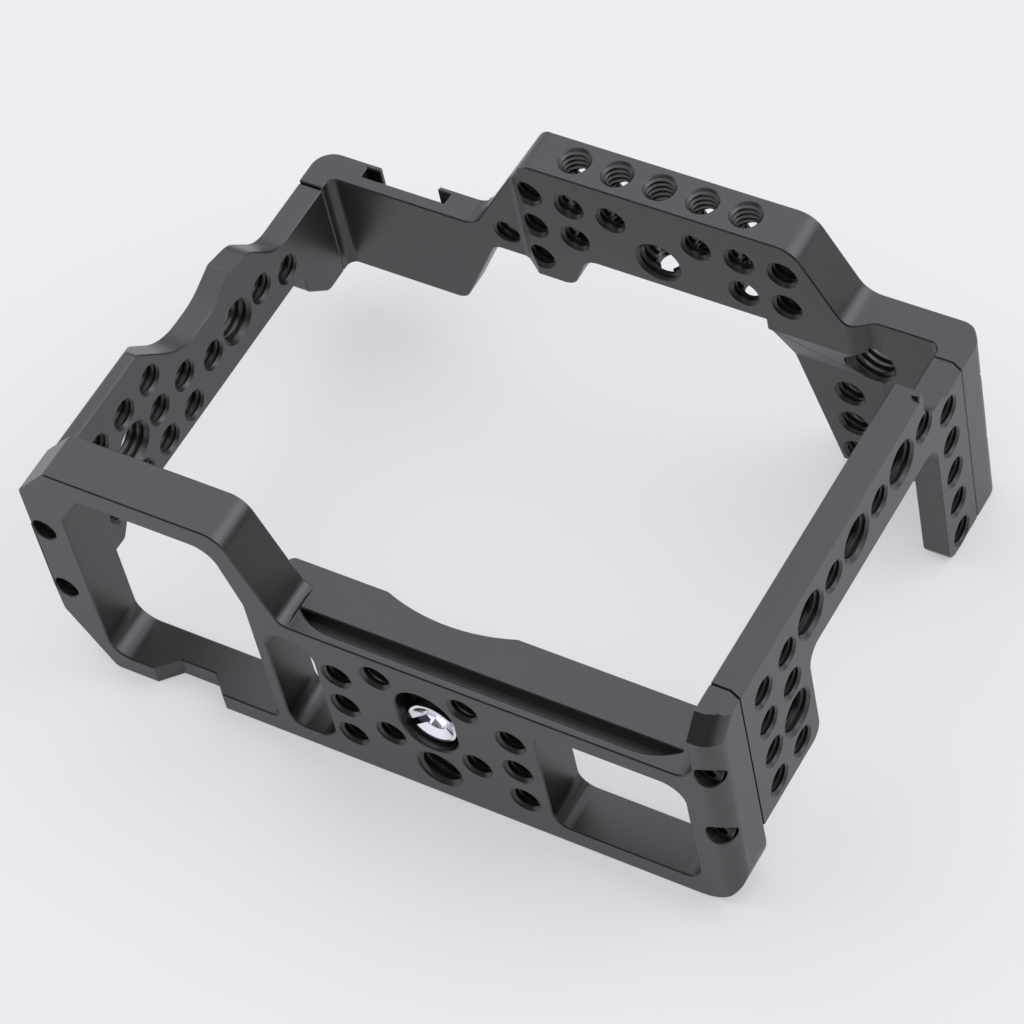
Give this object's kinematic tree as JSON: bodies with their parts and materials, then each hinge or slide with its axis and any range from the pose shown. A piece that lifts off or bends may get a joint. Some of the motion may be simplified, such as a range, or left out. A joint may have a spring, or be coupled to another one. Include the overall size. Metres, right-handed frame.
{
  "type": "camera cage",
  "caption": "Open metal cage that bolts around a mirrorless camera, with threaded accessory holes, a cold shoe channel and a captive camera screw.",
  "frame": {"origin": "on the bottom plate's outer face, at its rear edge, straight below the camera screw's axis", "axes": "+X from the grip side to the port side, +Y from the camera's bottom to its top, +Z from the camera's rear to its lens; the cage lies on its rear edges"},
  "size_m": [0.1421, 0.1036, 0.0617],
  "materials": {
    "dark_plate": "dark grey anodised, bead blasted, satin",
    "black_screw": "black oxide, satin",
    "bright_screw": "nickel plated, polished"
  },
  "bodies": {
    "cage": {"bottom_plate": "dark_plate", "grip_side_plate": "dark_plate", "port_side_plate": "dark_plate", "top_plate": "dark_plate", "screw_bottom_grip_lower": "black_screw", "screw_bottom_grip_upper": "black_screw", "screw_bottom_port_lower": "black_screw", "screw_bottom_port_upper": "black_screw", "screw_top_grip_lower": "black_screw", "screw_top_grip_upper": "black_screw", "screw_top_port_lower": "black_screw", "screw_top_port_upper": "black_screw"},
    "screw_ring": {"camera_screw_ring": "black_screw"},
    "screw": {"camera_screw": "bright_screw"}
  },
  "joints": [
    {"name": "camera_screw_slide", "type": "slide", "parent": "cage", "child": "screw_ring", "axis": [0, 0, 1], "range_m": [0, 0.0045]},
    {"name": "camera_screw_turn", "type": "hinge", "parent": "screw_ring", "child": "screw", "pos_m": [0, 0.009, 0.0206], "axis": [0, 1, 0], "continuous": true}
  ]
}
